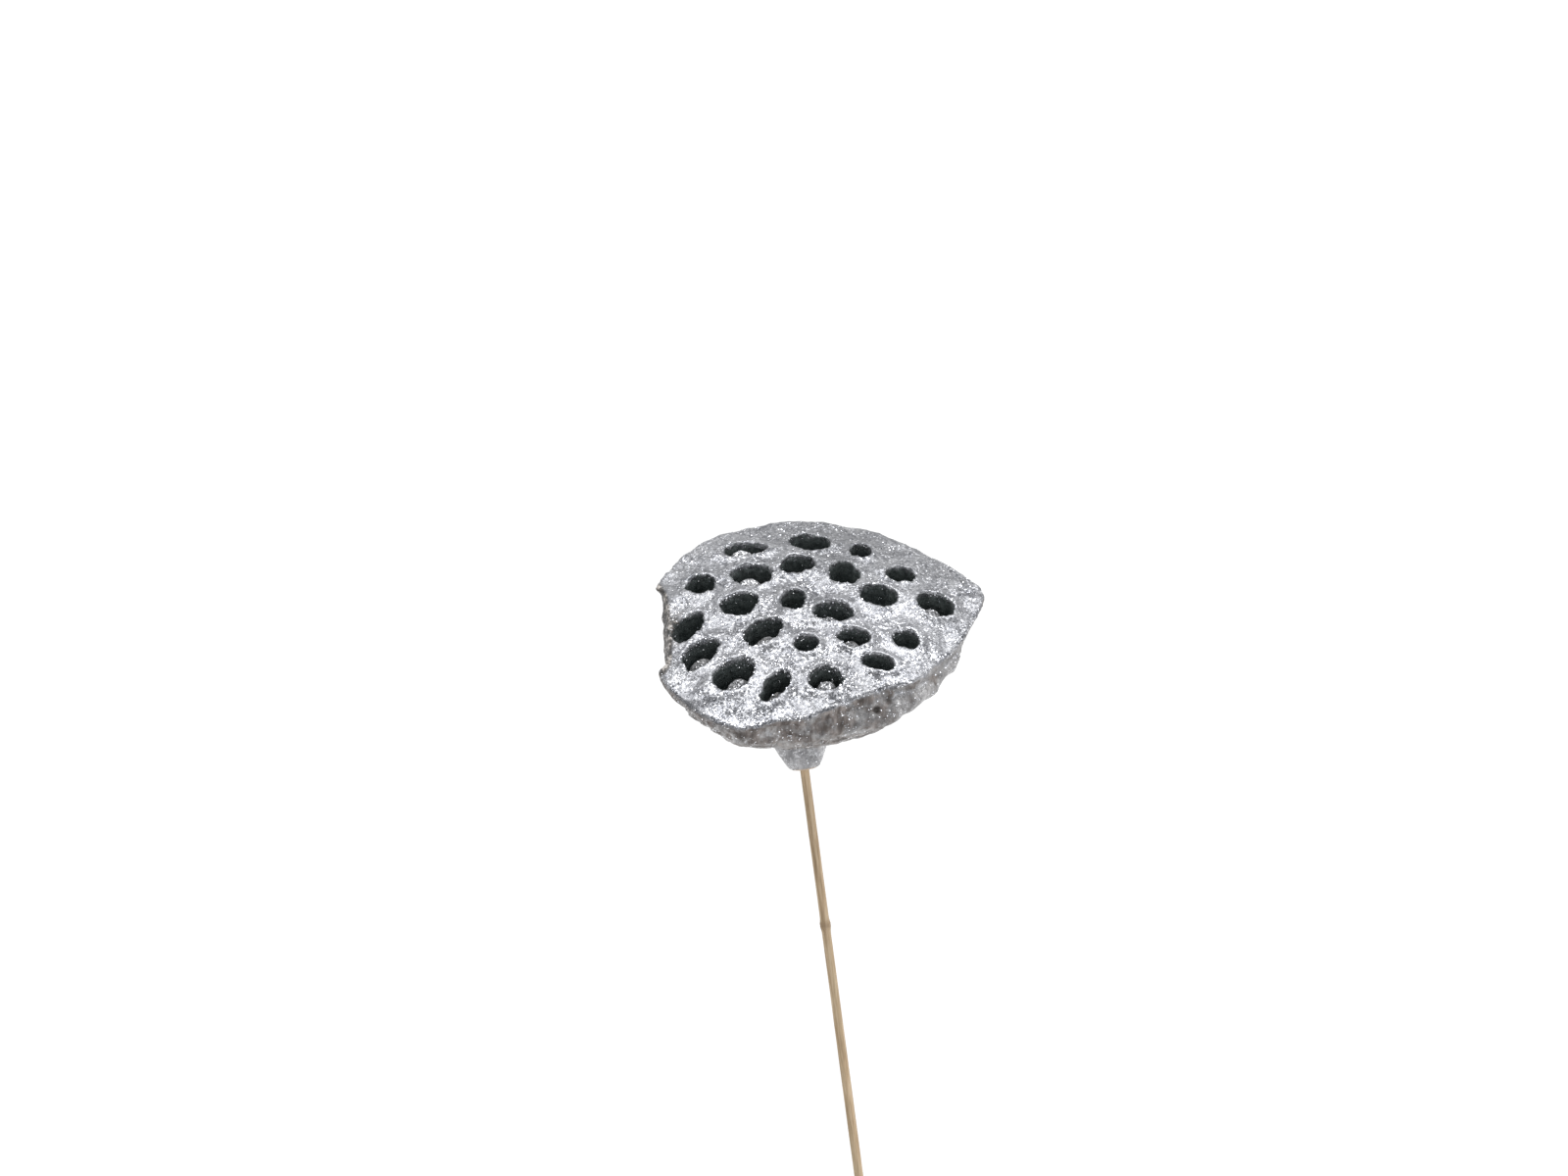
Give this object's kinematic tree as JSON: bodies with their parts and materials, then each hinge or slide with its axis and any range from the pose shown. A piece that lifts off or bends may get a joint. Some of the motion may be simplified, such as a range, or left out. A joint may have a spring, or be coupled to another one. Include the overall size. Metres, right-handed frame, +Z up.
{
  "type": "dried lotus pod",
  "caption": "Dried lotus seed head with a pitted, wavy-edged face and a bent neck on a slim stick, lying on its side.",
  "frame": {"origin": "middle of the base of the box round the whole object, on the surface that it lies on", "axes": "+Y along the stick towards the pod, +Z up, +X to the right of the stick seen from above"},
  "size_m": [0.0938, 0.3934, 0.0715],
  "materials": {
    "pod": "dry plant fibre sprayed silver, with loose glitter",
    "seed": "dry seed coat, partly sprayed silver",
    "stick": "bare dry reed"
  },
  "bodies": {
    "root": {"pod": "pod", "seed_01": "seed", "seed_02": "seed", "seed_03": "seed", "seed_04": "seed", "seed_05": "seed", "seed_06": "seed", "seed_07": "seed", "seed_08": "seed", "seed_09": "seed", "seed_10": "seed", "seed_11": "seed", "seed_12": "seed", "stick": "stick"}
  },
  "joints": []
}
